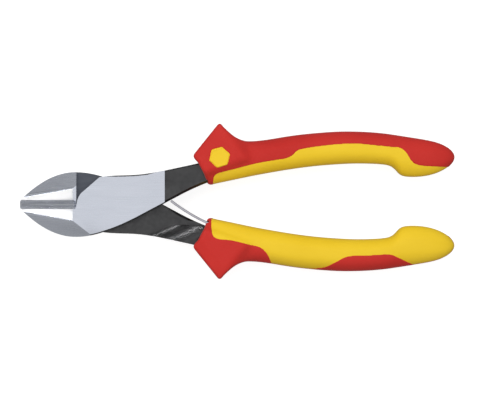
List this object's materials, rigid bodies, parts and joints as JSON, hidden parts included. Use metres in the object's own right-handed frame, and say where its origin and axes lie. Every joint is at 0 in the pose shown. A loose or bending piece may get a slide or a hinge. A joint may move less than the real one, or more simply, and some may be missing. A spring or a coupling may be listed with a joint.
{
  "type": "diagonal cutting pliers",
  "caption": "Insulated diagonal cutters: lap-jointed steel levers with bevelled jaws, moulded red and yellow handles, and a leaf spring that opens them.",
  "frame": {"origin": "on the pivot axis, in the flat rear face of the joint", "axes": "+X from the jaws to the handles, +Y towards the upper handle, +Z along the pivot out of the front face"},
  "size_m": [0.1994, 0.0709, 0.0216],
  "materials": {
    "lever_steel": "ground and brushed on the joint and jaws, black oxide on the arms",
    "rivet_steel": "ground flush",
    "spring_steel": "tempered strip, satin",
    "yellow_plastic": "hard moulded, semi-matt",
    "red_overmould": "soft-touch overmould, fine matt grain"
  },
  "bodies": {
    "front_half": {"front_lever": "lever_steel", "pivot_rivet": "rivet_steel", "upper_grip_core": "yellow_plastic", "upper_grip_shell": "red_overmould", "upper_hexagon_inlay": "yellow_plastic"},
    "rear_half": {"rear_lever": "lever_steel", "opening_spring": "spring_steel", "spring_rivet": "rivet_steel", "lower_grip_core": "yellow_plastic", "lower_grip_shell": "red_overmould", "lower_hexagon_inlay": "yellow_plastic"}
  },
  "joints": [
    {"name": "handle_opening", "type": "hinge", "parent": "front_half", "child": "rear_half", "pos_m": [0, 0, 0.0055], "axis": [0, 0, -1], "range_deg": [0, 25], "deforming": ["opening_spring"]}
  ]
}
